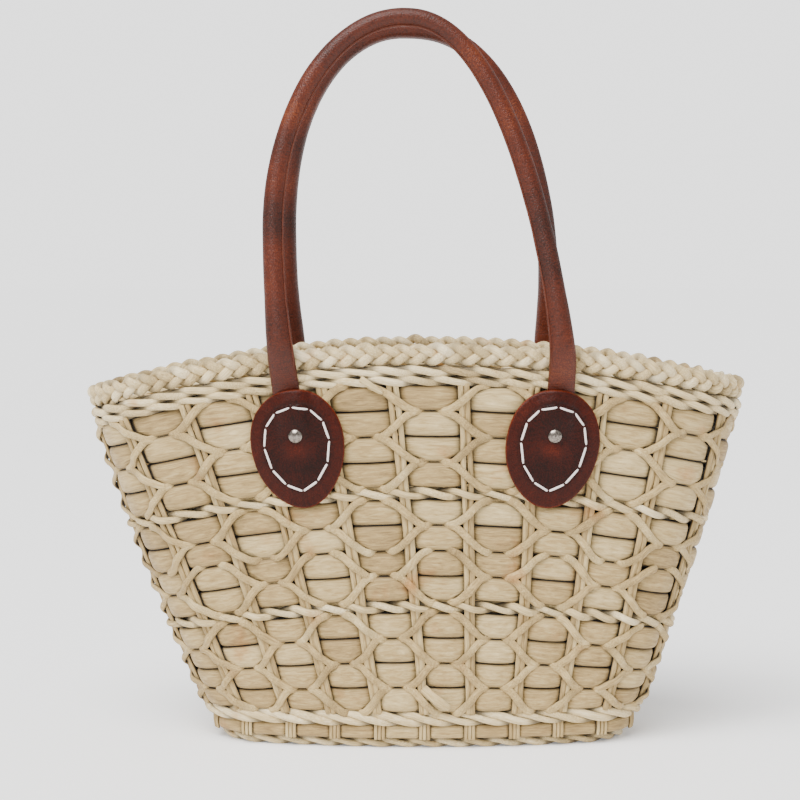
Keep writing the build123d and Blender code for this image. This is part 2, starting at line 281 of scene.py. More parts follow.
RINGS = [
    *ROW_NAMES[:7:-1],
    "lower_twined_rope",
    *ROW_NAMES[7:3:-1],
    "upper_twined_rope",
    *ROW_NAMES[3::-1],
    "rim_rope_lower",
    "rim_rope_upper",
    "rim_braid",
]
# Each joint's height at the middle of a face and at the ends
joints = [(FOOT_LEVEL, FOOT_LEVEL)]
for below, above in zip(RINGS, RINGS[1:]):
    joints.append((high(below)[2], low(above)[2]))
joints.append((RIM_LEVEL, RIM_LEVEL - (joints[-1][0] - joints[-1][1])))
joints = np.array(joints)
SPAN = {name: (joints[i, 0], joints[i + 1, 0]) for i, name in enumerate(RINGS)}


def around(values, columns):
    """values, known at the samples round an oval, at these columns."""
    return np.interp(np.mod(columns, PAIRS) / PAIRS * rim_lengths[-1], rim_lengths, values)


def lean(level):
    """How many columns the stakes have leant by this level."""
    return LEAN_AT_FOOT + LEAN * (level - FOOT_LEVEL) / (RIM_LEVEL - FOOT_LEVEL)


def wall(columns, levels, out=0.0):
    """Points at these columns and middle-of-face heights, this far out of the husk face, with
    the outward and upward directions there."""
    columns, levels = np.broadcast_arrays(np.asarray(columns, float), np.asarray(levels, float))
    moved = columns + lean(levels)
    foot = np.stack([around(foot_points[:, i], moved) for i in (0, 1)], -1)
    rim = np.stack([around(rim_points[:, i], moved) for i in (0, 1)], -1)
    angle = around(rim_angles, moved)
    share = (levels - FOOT_LEVEL) / (RIM_LEVEL - FOOT_LEVEL)
    end = (foot[..., 0] + (rim[..., 0] - foot[..., 0]) * share) / (width_line[0] + width_line[1] * levels)
    height = levels - np.interp(levels, joints[:, 0], joints[:, 0] - joints[:, 1]) * end**2
    share = (height - FOOT_LEVEL) / (RIM_LEVEL - FOOT_LEVEL)
    point = np.concatenate([foot + (rim - foot) * share[..., None], height[..., None]], -1)
    up = np.concatenate([rim - foot, np.full(share.shape + (1,), RIM_LEVEL - FOOT_LEVEL)], -1)
    up /= np.linalg.norm(up, axis=-1, keepdims=True)
    outward = np.stack([np.cos(angle), np.sin(angle), np.zeros_like(angle)], -1)
    outward -= up * (outward * up).sum(-1, keepdims=True)
    outward /= np.linalg.norm(outward, axis=-1, keepdims=True)
    inside = np.clip(share, 0, 1)
    left = np.where(end < 0, end**2, 0.0) * inside
    swell = SWELL * 4 * inside * (1 - inside) * np.abs(outward[..., 0])
    point = point + outward * (swell + out)[..., None]
    point[..., 0] += SIDE_LEAN * inside - END_SPLAY * left
    point[..., 2] -= END_SLUMP * left * inside**0.5
    return point, outward, up


print("joint heights, middle and ends, mm:", (joints / MM).round(1).tolist())

# %% [markdown]
# ## One builder for everything that is long and thin
# Stakes, cords, rope strands, plaits, stitches and the leather tube are all a cross-section
# carried along a line. Curves with a bevel could do it, but a flat cord has to keep its wide
# side to the wall while it twists and dives, so the rings of points are placed directly. The
# same builder keeps a UV map in metres along and around each strand, which the fibres follow,
# and a tint for each strand, so that no two are quite the same colour.

# %% The strand builder
class Pieces:
    """Collects strands and sheets of points, and makes them one object."""

    def __init__(self):
        self.points = []
        self.faces = []
        self.maps = []
        self.tints = []
        self.creases = []
        self.count = 0

    def grid(self, points, along, across, tint=0.5, closed_along=False, closed_across=True, crease=0.0):
        """A surface over a grid of points, with its map in metres, and for each point a tint and
        how deep in a crease it lies, from 0 to 1, which the husk materials paint as shade."""
        rows, cols = points.shape[:2]
        numbers = self.count + np.arange(rows * cols).reshape(rows, cols)
        row_count = rows if closed_along else rows - 1
        col_count = cols if closed_across else cols - 1
        i, j = np.meshgrid(np.arange(row_count), np.arange(col_count), indexing="ij")
        i2, j2 = (i + 1) % rows, (j + 1) % cols
        quads = np.stack([numbers[i, j], numbers[i, j2], numbers[i2, j2], numbers[i2, j]], -1).reshape(-1, 4)
        self.faces.extend(quads.tolist())
        far_along = np.append(along, 2 * along[-1] - along[-2])
        far_across = np.append(across, 2 * across[-1] - across[-2])
        u0, u1, v0, v1 = far_along[i], far_along[i + 1], far_across[j], far_across[j + 1]
        corners = [np.stack(pair, -1) for pair in ((u0, v0), (u0, v1), (u1, v1), (u1, v0))]
        self.maps.append(np.stack(corners, -2).reshape(-1, 2))
        self.points.append(points.reshape(-1, 3))
        self.tints.append(np.broadcast_to(np.asarray(tint, float), (rows, cols)).reshape(-1))
        self.creases.append(np.broadcast_to(np.asarray(crease, float), (rows, cols)).reshape(-1))
        self.count += rows * cols
        return numbers

    def cap(self, numbers):
        """Closes a ring of points with one face."""
        self.faces.append(list(numbers))
        self.maps.append(np.zeros((len(numbers), 2)))

    def strand(self, line, out, wide, thick, tint=0.5, sides=10, closed=False, power=2.0, turn=None,
               crease=0.0, backed=True):
        """A strand along a line, wide across and thick in the out direction. power squares its
        section, turn rotates it, and a backed strand lies against something, so its back is given
        painted shade."""
        line = np.asarray(line)
        ahead = np.roll(line, -1, 0) - np.roll(line, 1, 0)
        if not closed:
            ahead[0], ahead[-1] = line[1] - line[0], line[-1] - line[-2]
        ahead /= np.linalg.norm(ahead, axis=1, keepdims=True)
        out = out - ahead * (out * ahead).sum(1, keepdims=True)
        out /= np.linalg.norm(out, axis=1, keepdims=True)
        side = np.cross(ahead, out)
        wide = np.broadcast_to(np.asarray(wide, float), len(line))
        thick = np.broadcast_to(np.asarray(thick, float), len(line))
        angles = np.linspace(0, 2 * math.pi, sides, endpoint=False)
        c, s = np.cos(angles), np.sin(angles)
        c, s = np.sign(c) * np.abs(c) ** (2 / power), np.sign(s) * np.abs(s) ** (2 / power)
        flat = c[None] * thick[:, None] / 2
        cross = s[None] * wide[:, None] / 2
        if turn is not None:
            cos_t, sin_t = np.cos(turn)[:, None], np.sin(turn)[:, None]
            flat, cross = flat * cos_t - cross * sin_t, flat * sin_t + cross * cos_t
        points = line[:, None] + out[:, None] * flat[..., None] + side[:, None] * cross[..., None]
        steps = np.linalg.norm(np.diff(line, axis=0), axis=1)
        along = np.concatenate([[0], np.cumsum(steps)])
        across = np.arange(sides) / sides * math.pi * float(wide.mean() + thick.mean()) / 2
        # Painted shade on the back of a backed strand, added to any crease shade given
        hidden = backed * np.clip(0.5 - np.cos(angles) * 1.7, 0, 1)[None]
        shade = np.clip(hidden + crease, 0, 1)
        numbers = self.grid(points, along, across, tint, closed_along=closed, crease=shade)
        if not closed:
            self.cap(numbers[0][::-1])
            self.cap(numbers[-1])
        return numbers

    def make(self, name, material):
        """One smooth object of everything collected, with its map, tints and creases."""
        mesh = bpy.data.meshes.new(name)
        mesh.from_pydata(np.concatenate(self.points).tolist(), [], self.faces)
        fibre = mesh.uv_layers.new(name="Fibre")
        fibre.data.foreach_set("uv", np.concatenate(self.maps).astype(np.float32).ravel())
        for kept, values in (("tint", self.tints), ("crease", self.creases)):
            layer = mesh.attributes.new(kept, "FLOAT", "POINT")
            layer.data.foreach_set("value", np.concatenate(values).astype(np.float32))
        mesh.polygons.foreach_set("use_smooth", [True] * len(mesh.polygons))
        mesh.validate()
        mesh.update()
        made = bpy.data.objects.new(name, mesh)
        bpy.context.collection.objects.link(made)
        made.data.materials.append(material)
        print(f"{name}: {len(mesh.polygons)} faces")
        return made


def basket_piece(pieces, name, material, slot, *replaced):
    """Makes the pieces, fixed to the basket, in place of these CAD nodes."""
    made = pieces.make(name, material)
    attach(made, "basket")
    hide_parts(*replaced)
    return made


rng = np.random.default_rng(7)


def wobble(count, waves, size, seed):
    """A smooth closed random line: count values whose bumps are count / waves long."""
    knots = np.random.default_rng(seed).normal(size=waves)
    knots = np.append(knots, knots[0])
    place = np.arange(count) / count * waves
    i, f = place.astype(int), place % 1
    f = f * f * (3 - 2 * f)
    return size * (knots[i] * (1 - f) + knots[i + 1] * f)


# %% [markdown]
# ## Maize husk, twisted and plain
# Husk is a papery leaf with fine parallel ribs. Straw-pale and nearly matt, it has a slight
# silky sheen along the ribs and now and then a pink or green stain. Where strands meet or lie
# against something, the colour is darkened towards a near-black brown: painted shade. The ribs
# come from noise stretched far along the fibre direction of the UV map, and the same noise moves
# the bump, so a rib that looks darker is also a groove. A second, broader noise crumples the
# surface like paper.

# %% Husk materials
# Painted shade: creases, and the backs of strands that lie against something, are darkened towards this
# colour
CREASE_SHADE = "#1c1006"  # what a crease between two strands looks like
STAIN = "#e3bd96"


def scaled(tree, source, factor, added=0.0):
    """source times factor plus added, where added is a number or another node's output."""
    made = node(tree, "ShaderNodeMath", [(0, source)], operation="MULTIPLY_ADD")
    made.inputs[1].default_value = factor
    if isinstance(added, float):
        made.inputs[2].default_value = added
    else:
        tree.links.new(made.inputs[2], added)
    return made.outputs["Value"]


def husk_material(name, pale, middle, deep, rib_width, rib_length, twist=0.0, bump=0.6):
    """Dried leaf. rib_width and rib_length are the size of a rib in metres."""
    material, tree, shader = new_material(name)
    place = node(tree, "ShaderNodeUVMap", uv_map="Fibre").outputs["UV"]
    tint = node(tree, "ShaderNodeAttribute", attribute_name="tint").outputs["Fac"]
    crease = node(tree, "ShaderNodeAttribute", attribute_name="crease").outputs["Fac"]
    solid = node(tree, "ShaderNodeTexCoord").outputs["Object"]
    # The tint also picks each strand's own slice of the four-dimensional noise
    slice_at = scaled(tree, tint, 97.0)

    def stretched(long, wide, **settings):
        size = (1 / long, 1 / wide, 1)
        vector = node(tree, "ShaderNodeMapping", [("Vector", place)], Rotation=(0, 0, twist), Scale=size)
        links = [("Vector", vector.outputs["Vector"]), ("W", slice_at)]
        noise = node(tree, "ShaderNodeTexNoise", links, noise_dimensions="4D", Scale=1.0, **settings)
        return noise.outputs["Fac"]

    ribs = stretched(rib_length, rib_width, Detail=5.0, Roughness=0.65, Distortion=0.5)
    crumple = stretched(16 * MM, 4.5 * MM, Detail=2.0, Distortion=1.2)
    shade = scaled(tree, ribs, 0.75, scaled(tree, tint, 0.3, -0.01))
    colour = ramp(tree, shade, [(0.2, deep), (0.5, middle), (0.8, pale)])
    # A stain is about 26 mm across
    blotch = node(tree, "ShaderNodeTexNoise", [("Vector", solid)], Scale=38.0, Detail=3.0)
    stain = ramp(tree, blotch.outputs["Fac"], [(0.62, "#000000"), (0.8, "#ffffff")])
    stained = node(tree, "ShaderNodeMix", [("Factor", stain)], data_type="RGBA", blend_type="MULTIPLY")
    tree.links.new(stained.inputs["A"], colour)
    stained.inputs["B"].default_value = linear(STAIN)
    # Painted shade: the crease attribute mixes the colour towards the near-black crease colour
    crease_shaded = node(tree, "ShaderNodeMix", [("Factor", crease)], data_type="RGBA")
    tree.links.new(crease_shaded.inputs["A"], stained.outputs["Result"])
    crease_shaded.inputs["B"].default_value = linear(CREASE_SHADE)
    tree.links.new(shader.inputs["Base Color"], crease_shaded.outputs["Result"])
    relief = node(tree, "ShaderNodeBump", [("Height", ribs)], Strength=bump, Distance=0.5 * MM)
    links = [("Height", crumple), ("Normal", relief.outputs["Normal"])]
    papery = node(tree, "ShaderNodeBump", links, Strength=0.6, Distance=2.2 * MM)
    tree.links.new(shader.inputs["Normal"], papery.outputs["Normal"])
    shader.inputs["Roughness"].default_value = 0.62
    shader.inputs["IOR"].default_value = 1.46
    shader.inputs["Specular IOR Level"].default_value = 0.35
    shader.inputs["Sheen Weight"].default_value = 0.08
    return material


# Flat husk shows broad ribs, and its folds catch the light
maize_husk = husk_material("maize_husk_plain", "#dbc593", "#a98e5d", "#553b1c", 0.8 * MM, 12 * MM)
# Twisted husk shows finer ribs that slant across the cord
husk_cord = husk_material(
    "maize_husk_cord_twisted", "#decb9b", "#b19664", "#573e1e", 0.6 * MM, 8 * MM, twist=0.35, bump=0.5
)
# The ropes are of paler inner leaves
husk_rope = husk_material(
    "maize_husk_rope_twisted", "#f8eac6", "#cbb382", "#6e522b", 0.6 * MM, 9 * MM, twist=0.3, bump=0.5
)

# %% [markdown]
# ## Twelve husk bundles
# Each row is one bundle of folded husk carried right round. Between stakes it swells out into a
# pad; at the stakes it is squeezed back. Where the binding cord dives between two rows it pulls
# the pads' corners round, and where two rows simply meet they press into a straight thin line.
# Which edge is squeezed alternates from column to column, so the pads are worked out from the
# same table of dives that the cords use.

# %% Where the cord dives
# For rows 1 to 12 down the wall, +1 where an odd column's cord dives at the row's top edge and
# -1 at its bottom edge. Even columns are the other way up.
DIVES = [1, -1, 1, -1, 1, -1, -1, 1, -1, 1, -1, 1]


def dive_side(row, column):
    return DIVES[row] * np.where(np.mod(np.floor(column), 2) == 1, 1, -1)


def bump_between(value, start, end):
    """0 before start and 1 after end, with an eased step between."""
    share = np.clip((value - start) / (end - start), 0, 1)
    return share * share * (3 - 2 * share)


# %% The bundles
PAD_SWELL = 3.6 * MM
STEPS = 24
SIDES = 40
section = np.linspace(0, 2 * math.pi, SIDES, endpoint=False)
section_out = np.sign(np.cos(section)) * np.abs(np.cos(section)) ** 0.62
section_up = np.sign(np.sin(section)) * np.abs(np.sin(section)) ** 0.50
outer_half = bump_between(np.cos(section), -0.7, 0.1)[None]
grid_columns = np.arange(PAIRS * STEPS) / STEPS
from_centre = np.abs(np.mod(grid_columns, 1) - 0.5)
column_number = np.floor(grid_columns).astype(int)
for row, name in enumerate(ROW_NAMES):
    bottom, top = SPAN[name]
    middle, half = (bottom + top) / 2, (top - bottom) / 2
    side = dive_side(row, grid_columns)
    pinch = bump_between(from_centre, 0.12, 0.40)
    reach_up = half * (1 - (pinch * np.where(side > 0, 0.52, 0.02))[:, None] * outer_half)
    reach_down = half * (1 - (pinch * np.where(side < 0, 0.52, 0.02))[:, None] * outer_half)
    squeeze = bump_between(from_centre, 0.34, 0.43)
    loose = 1 + 0.22 * rng.normal(size=PAIRS)[column_number]
    face = PAD_SWELL * loose * (1 - (from_centre / 0.46) ** 2.2) - 1.4 * MM * squeeze
    back = -WALL
    out = (face + back)[:, None] / 2 + section_out[None] * (face - back)[:, None] / 2
    folds = np.zeros((len(grid_columns), SIDES))
    for column in range(PAIRS):
        mine = column_number == column
        ridge_height = rng.uniform(0.25, 0.7) * MM
        ridge_place = rng.uniform(0.9, 2.2) * rng.choice([-1, 1])
        drift = rng.uniform(-1.2, 1.2) * (np.mod(grid_columns[mine], 1) - 0.5)
        angle_off = np.mod(section[None] - ridge_place - drift[:, None] + math.pi, 2 * math.pi) - math.pi
        folds[mine] += ridge_height * np.tanh(angle_off / 0.16) * np.exp(-((angle_off / 0.9) ** 2)) * 0.8
    folds *= (1 - squeeze[:, None]) * (np.cos(section) > 0)[None]
    up = np.where(section_up > 0, reach_up, reach_down) * section_up[None]
    points, _, _ = wall(grid_columns[:, None], middle + up, out + folds)
    pieces = Pieces()
    along = grid_columns * COLUMN
    across = np.arange(SIDES) / SIDES * 2 * (WALL + 2 * half)
    tints = rng.uniform(0.2, 0.85, PAIRS)[column_number]
    # Painted shade where the pad meets the rows above and below and where it is squeezed at the stakes
    edge = 1.5 * np.exp(-((np.cos(section) / 0.5) ** 2))[None]
    edge = edge + 0.8 * bump_between(from_centre, 0.36, 0.44)[:, None]
    crease = np.clip(edge * (np.cos(section) > -0.6), 0, 1)
    pieces.grid(points, along, across, np.repeat(tints[:, None], SIDES, 1), closed_along=True, crease=crease)
    basket_piece(pieces, name.replace("husk_row", "husk_bundle"), maize_husk, "maize_husk", name)

# %% [markdown]
# ## Stakes
# Each pair is two lengths of cord standing against the rows, under the binding cords. They are
# a little crooked, since nothing but the binding holds them.

# %% The pairs of stakes
STAKE = 3.7 * MM
stakes = Pieces()
stake_low, stake_high = SPAN["husk_row_12"][0] - 1 * MM, SPAN["husk_row_01"][1] + 1.5 * MM
levels = np.linspace(stake_low, stake_high, 90)
for pair in range(PAIRS):
    for hand in (-1, 1):
        seed = 300 + 2 * pair + hand
        aside = hand * 2.05 * MM + wobble(180, 14, 0.32 * MM, seed)[:90]
        width = STAKE * (1 + wobble(180, 24, 0.06, seed + 99)[:90])
        out = 1.75 * MM + wobble(180, 10, 0.2 * MM, seed + 7)[:90]
        line, outward, _ = wall(pair + aside / COLUMN, levels, out)
        stakes.strand(line, outward, width, width * 0.94, rng.uniform(0.15, 0.75), sides=10)
basket_piece(stakes, "outer_stakes", husk_cord, "husk_cord", "outer_stakes")

# %% [markdown]
# ## Binding cords
# One cord to a row crosses every pair of stakes at the row's mid-height and dives between the
# rows at the middle of each column, at the top edge in one column and the bottom edge in the
# next. The cord is flat-sided, and it arches over the stakes, so its path has to leave the
# crease, climb onto the pad, clear the stakes and sink again.

# %% The binding cords
CORD_WIDE, CORD_THICK = 5.0 * MM, 2.6 * MM
CORD_STEPS = 24
for band, rows in {"upper": range(0, 4), "middle": range(4, 8), "lower": range(8, 12)}.items():
    cords = Pieces()
    for row in rows:
        bottom, top = SPAN[ROW_NAMES[row]]
        middle, half = (bottom + top) / 2, (top - bottom) / 2
        columns = np.arange(PAIRS * CORD_STEPS) / CORD_STEPS
        shifted = np.mod(columns, 1) - 0.5
        near = np.abs(shifted)
        side = dive_side(row, columns)
        slope = np.sin(math.pi / 2 * np.clip((0.5 - near) / 0.34, 0, 1))
        level = middle + side * half * 1.04 * slope
        buried = 1 - bump_between(near, 0.07, 0.21)
        over = np.exp(-((near - 0.5) / 0.085) ** 2)
        out = 2.6 * MM + 2.6 * MM * over - 4.2 * MM * buried
        level = level + wobble(len(columns), 90, 0.35 * MM, row + 700)
        line, outward, _ = wall(columns, level, out)
        wide = CORD_WIDE * (1 + wobble(len(columns), 110, 0.07, row + 800)) * (1 - 0.3 * buried)
        turn = wobble(len(columns), 44, 0.12, row + 900)
        tint = 0.45 + wobble(len(columns), 60, 0.16, row)[:, None]
        cords.strand(line, outward, wide, CORD_THICK, tint, sides=12, closed=True, turn=turn)
    basket_piece(cords, f"binding_cords_{band}", husk_cord, "husk_cord", f"binding_cords_{band}")

# %% [markdown]
# ## Ropes and the rim plait
# The two ropes that part the bands are twined: two strands turn round each other once for each
# column, in step with the stakes, so that one strand always crosses in front of a pair. The rim
# has two plain twisted ropes and, above them, a three-strand plait. A plait's strands swing up
# and down once while they go in and out twice, which is all the maths it needs.

# %% The twined and twisted ropes
def twisted_rope(
    level, radius, centre_out, strand, turns, count=2, first=0.0, over=0.0, foot=False, rope=None
):
    """count strands turning round each other, radius (up, out) from the rope's middle. over adds
    reach where they cross the stakes. A foot rope stays level. With a rope given, these strands
    are its inner half, which fills the wall behind it."""
    inner = rope is not None
    rope = rope or Pieces()
    radius_up, radius_out = radius
    steps = max(turns * 18, 660)
    columns = np.arange(steps) / steps * PAIRS
    near_stake = np.abs(np.mod(columns + 0.5, 1) - 0.5)
    crossing = over * np.exp(-((near_stake / 0.13) ** 2))
    for index in range(count):
        phase = 2 * math.pi * (columns / PAIRS * turns + index / count + first)
        out = centre_out + radius_out * np.cos(phase) + crossing * (np.cos(phase) > -0.4)
        loose = 1 + wobble(steps, turns * 2, 0.07, turns + index)
        line, outward, _ = wall(columns, level - radius_up * np.sin(phase) * loose, out)
        if foot:
            line[:, 2] = level - radius_up * np.sin(phase)
        tint = 0.5 + wobble(steps, turns, 0.2, 31 * index + turns)
        # Where a strand goes behind the other, it lies in shadow
        crease = 0.0 if inner else 0.75 * bump_between(-np.cos(phase), -0.35, 0.5)[:, None]
        thick = strand * loose
        rope.strand(
            line, outward, thick, thick, tint[:, None], sides=12, closed=True, backed=not inner, crease=crease
        )
    return rope


TWINED_TURNS = PAIRS
RIM_TURNS = 24
for name in ("lower_twined_rope", "upper_twined_rope"):
    middle = sum(SPAN[name]) / 2
    rope = twisted_rope(middle, (1.9 * MM, 2.2 * MM), -0.2 * MM, 4.6 * MM, TWINED_TURNS, over=2.6 * MM)
    twisted_rope(middle, (1.9 * MM, 1.5 * MM), -5.0 * MM, 4.4 * MM, TWINED_TURNS, first=0.3, rope=rope)
    basket_piece(rope, name, husk_rope, "husk_cord", name)
for name, first in (("rim_rope_lower", 0.1), ("rim_rope_upper", 0.45)):
    middle = sum(SPAN[name]) / 2
    rope = twisted_rope(middle, (1.35 * MM, 1.8 * MM), 0.9 * MM, 4.6 * MM, RIM_TURNS, first=first)
    twisted_rope(middle, (1.5 * MM, 1.5 * MM), -4.6 * MM, 4.2 * MM, RIM_TURNS, first=first + 0.3, rope=rope)
    basket_piece(rope, name, husk_rope, "husk_cord", name)

# %% The rim plait
PLAITS = 30
plait = Pieces()
bottom, top = SPAN["rim_braid"]
steps = PLAITS * 26
columns = np.arange(steps) / steps * PAIRS
for index in range(3):
    phase = 2 * math.pi * (columns / PAIRS * PLAITS + index / 3)
    loose = 1 + wobble(steps, PLAITS * 2, 0.06, 400 + index)
    swing = np.arcsin(0.93 * np.sin(phase)) / math.asin(0.93)
    level = (bottom + top) / 2 + 4.4 * MM * swing * loose
    line, outward, _ = wall(columns, level, -1.2 * MM - 2.4 * MM * np.sin(2 * phase))
    tint = 0.55 + wobble(steps, PLAITS * 2, 0.25, 410 + index)
    # Painted shade where each strand turns back at the plait's upper and lower edges
    crease = 0.3 * bump_between(np.abs(swing), 0.8, 1.0)[:, None]
    wide = 5.6 * MM * loose
    plait.strand(
        line, outward, wide, 4.4 * MM, tint[:, None], sides=14, closed=True, backed=False, crease=crease
    )
basket_piece(plait, "rim_plait", husk_rope, "husk_cord", "rim_braid")

# %% [markdown]
# ## The foot and the base
# The foot is a border rope, a ring of husk pads and a last rope that the bag stands on, each
# drawn in a little from the one above. Inside them lies a flat base of coiled rope.

# %% The foot
def ring_level(name):
    return (low(name)[2] + high(name)[2]) / 2


border_level, last_level = ring_level("border_rope"), ring_level("bottom_rope")
border = twisted_rope(border_level, (2.7 * MM, 2.2 * MM), -0.8 * MM, 5.0 * MM, 12, count=3, foot=True)
basket_piece(border, "border_rope", husk_rope, "husk_cord", "border_rope")
last = twisted_rope(last_level, (1.4 * MM, 1.6 * MM), -6.6 * MM, 4.1 * MM, 18, foot=True)
basket_piece(last, "bottom_rope", husk_rope, "husk_cord", "bottom_rope")

# %% The husk pads of the foot
foot_ring = Pieces()
bottom, top = low("foot_husk")[2], high("foot_husk")[2]
pad_columns = np.arange(PAIRS * 30) / 30
near_stake = 1 - np.abs(np.mod(pad_columns, 1) - 0.5) * 2
squeeze = 1 - bump_between(near_stake, 0.12, 0.38)
half = (top - bottom) / 2 * (1.08 - 0.2 * squeeze)
face = 0.4 * MM - 3.0 * MM * squeeze
out = (face - 14 * MM)[:, None] / 2 + section_out[None] * (face + 14 * MM)[:, None] / 2
PAD_LEVEL = FOOT_LEVEL - 12 * MM
points, _, _ = wall(pad_columns[:, None], PAD_LEVEL + np.zeros((1, SIDES)), out)
points[..., 2] = (bottom + top) / 2 + half[:, None] * section_up[None]
pad_tints = rng.uniform(0.2, 0.75, PAIRS)[np.floor(pad_columns).astype(int)]
shade = np.exp(-((np.cos(section) / 0.36) ** 2))[None] + 0.7 * squeeze[:, None]
along, across = pad_columns * COLUMN * 0.7, np.arange(SIDES) * 1.0 * MM
crease = np.clip(shade * (np.cos(section) > -0.6), 0, 1)
tints = np.repeat(pad_tints[:, None], SIDES, 1)
foot_ring.grid(points, along, across, tints, closed_along=True, crease=crease)
basket_piece(foot_ring, "foot_husk", maize_husk, "maize_husk", "foot_husk")

# %% The stakes' ends
# They come down between the foot's pads as three thin cords
stake_ends = Pieces()
for pair in range(PAIRS):
    for aside in (-2.5, 0, 2.5):
        heights = np.linspace(top + 1 * MM, bottom - 0.5 * MM, 14)
        line, outward, _ = wall(pair + aside * MM / (COLUMN * 0.66), PAD_LEVEL + 0 * heights, -0.6 * MM)
        line[:, 2] = heights
        line += outward * (0.8 * MM * np.sin(np.linspace(0, math.pi, 14)))[:, None]
        stake_ends.strand(line, outward, 2.4 * MM, 2.0 * MM, rng.uniform(0.2, 0.8), sides=8)
stake_tips = stake_ends.make("stake_ends", husk_cord)
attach(stake_tips, "basket")

# %% Two loose ends
# One tail of the lower rim rope is tucked away badly, and a flat end of cord sticks out low down
loose_ends = Pieces()
share = np.linspace(0, 1, 20)
bow = 3.6 * MM + 2.2 * MM * np.sin(math.pi * share)
line, outward, _ = wall(-0.42 + 0.26 * share, 0.236 - 0.009 * share, bow)
loose_ends.strand(line, outward, 4.4 * MM * (1 - 0.4 * share**3), 3.4 * MM, 0.8, sides=10)
bow = 3.0 * MM + 5.0 * MM * np.sin(math.pi * 0.8 * share)
line, outward, _ = wall(0.02 + 0.52 * share, 0.040 - 0.012 * share, bow)
loose_ends.strand(line, outward, 6.5 * MM * (1 - 0.3 * share**4), 2.2 * MM, 0.7, sides=10)
tails = loose_ends.make("loose_ends", husk_cord)
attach(tails, "basket")

# %% The coiled base
base = Pieces()
base_low, base_high = low("base_panel"), high("base_panel")
coil = (base_high - base_low)[2]
rings = int(base_high[1] / (0.96 * coil))
for ring in range(rings):
    inset = coil * (0.5 + 0.96 * ring)
    end_radius = max(base_high[1] * 0.785 - inset * 0.8, 2 * MM)
    arcs = oval_arcs(base_high[0] - inset, base_high[1] - inset, end_radius)
    line = []
    for x, y, radius, start, turn in arcs:
        for angle in start + np.linspace(0, 1, 40, endpoint=False) * turn:
            line.append((x + radius * math.cos(angle), y + radius * math.sin(angle), coil / 2 + base_low[2]))
    line = np.array(line)
    up = np.tile([0.0, 0.0, 1.0], (len(line), 1))
    base.strand(line, up, coil * 0.98, coil * 0.9, rng.uniform(0.2, 0.7), sides=10, closed=True)
basket_piece(base, "coiled_base", husk_rope, "maize_husk", "base_panel")

# %% [markdown]
# ## Leather
# The tubes and tabs are vegetable-tanned cowhide, dyed reddish brown and lightly waxed. Small
# uneven pebbles cover it, fine creases run across a tube where it bends, and the colour is
# lighter on the high spots and darker in the hollows. A cut edge is raw and paler.

# %% Leather materials
PEBBLE = 0.9 * MM
CLOUD = 22 * MM  # patches of thicker and thinner dye


def leather_material(name, dark, middle, light, crease_across, crease_along, roughness, shine=0.3):
    """Waxed, dyed cowhide with creases of this length across and spacing along the piece."""
    material, tree, shader = new_material(name)
    place = node(tree, "ShaderNodeUVMap", uv_map="Fibre").outputs["UV"]
    tint = node(tree, "ShaderNodeAttribute", attribute_name="tint").outputs["Fac"]
    solid = node(tree, "ShaderNodeTexCoord").outputs["Object"]
    size = (1 / crease_along, 1 / crease_across, 1)
    lines = node(tree, "ShaderNodeMapping", [("Vector", place)], Scale=size).outputs["Vector"]
    creases = node(tree, "ShaderNodeTexNoise", [("Vector", lines)], Scale=1.0, Detail=3.0, Distortion=0.6)
    pebbles = node(tree, "ShaderNodeTexVoronoi", [("Vector", solid)], Scale=1 / PEBBLE).outputs["Distance"]
    cloud = node(tree, "ShaderNodeTexNoise", [("Vector", solid)], Scale=1 / CLOUD, Detail=3.0)
    folded = creases.outputs["Fac"]
    worn = node(tree, "ShaderNodeMath", [(0, folded), (1, cloud.outputs["Fac"])], operation="ADD")
    dye = scaled(tree, worn.outputs["Value"], 0.3, tint)
    colour = ramp(tree, scaled(tree, pebbles, -0.28, dye), [(0.1, dark), (0.4, middle), (0.8, light)])
    tree.links.new(shader.inputs["Base Color"], colour)
    grain = node(tree, "ShaderNodeBump", [("Height", pebbles)], Strength=0.55, Distance=0.4 * MM)
    grain.invert = True
    links = [("Height", folded), ("Normal", grain.outputs["Normal"])]
    folds = node(tree, "ShaderNodeBump", links, Strength=0.32, Distance=0.4 * MM)
    tree.links.new(shader.inputs["Normal"], folds.outputs["Normal"])
    shader.inputs["Roughness"].default_value = roughness
    shader.inputs["IOR"].default_value = 1.5
    shader.inputs["Specular IOR Level"].default_value = shine
    return material


# The tube's dye has rubbed thin, so it is a lighter brown, with fine wrinkles across it
tube_leather = leather_material(
    "cowhide_tube_waxed", "#260b02", "#4f1b06", "#8e4b1e", 5 * MM, 0.9 * MM, 0.40, 0.28
)
# The tabs are darker, as they took more dye, and pebbled, with only a faint shine
tab_leather = leather_material(
    "cowhide_tab_waxed", "#190501", "#380d03", "#67250e", 3 * MM, 7 * MM, 0.38, 0.14
)
# A cut edge has no wax, so it is rough and dull
edge_leather = leather_material("cowhide_cut_edge", "#32120a", "#4c1f10", "#683722", 2 * MM, 2 * MM, 0.7)
# The flesh side is pale and fluffy
patch_leather = leather_material(
    "cowhide_patch_rough_side", "#5d3325", "#86543f", "#a87a60", 2 * MM, 2 * MM, 0.8
)

# %% [markdown]
# White waxed polyester thread is twisted, so each long stitch shows slanted ridges. The rivets
# are nickel-plated steel, bright but softened by tumbling.

# %% Thread and nickel
thread, tree, shader = new_material("polyester_thread_waxed")
place = node(tree, "ShaderNodeUVMap", uv_map="Fibre")
slant = node(tree, "ShaderNodeMapping", [("Vector", place.outputs["UV"])], Rotation=(0, 0, 0.7))
PLY = 0.55 * MM
slanted = [("Vector", slant.outputs["Vector"])]
plies = node(tree, "ShaderNodeTexWave", slanted, Scale=1 / (6.28 * PLY) * 2, Distortion=0.6)
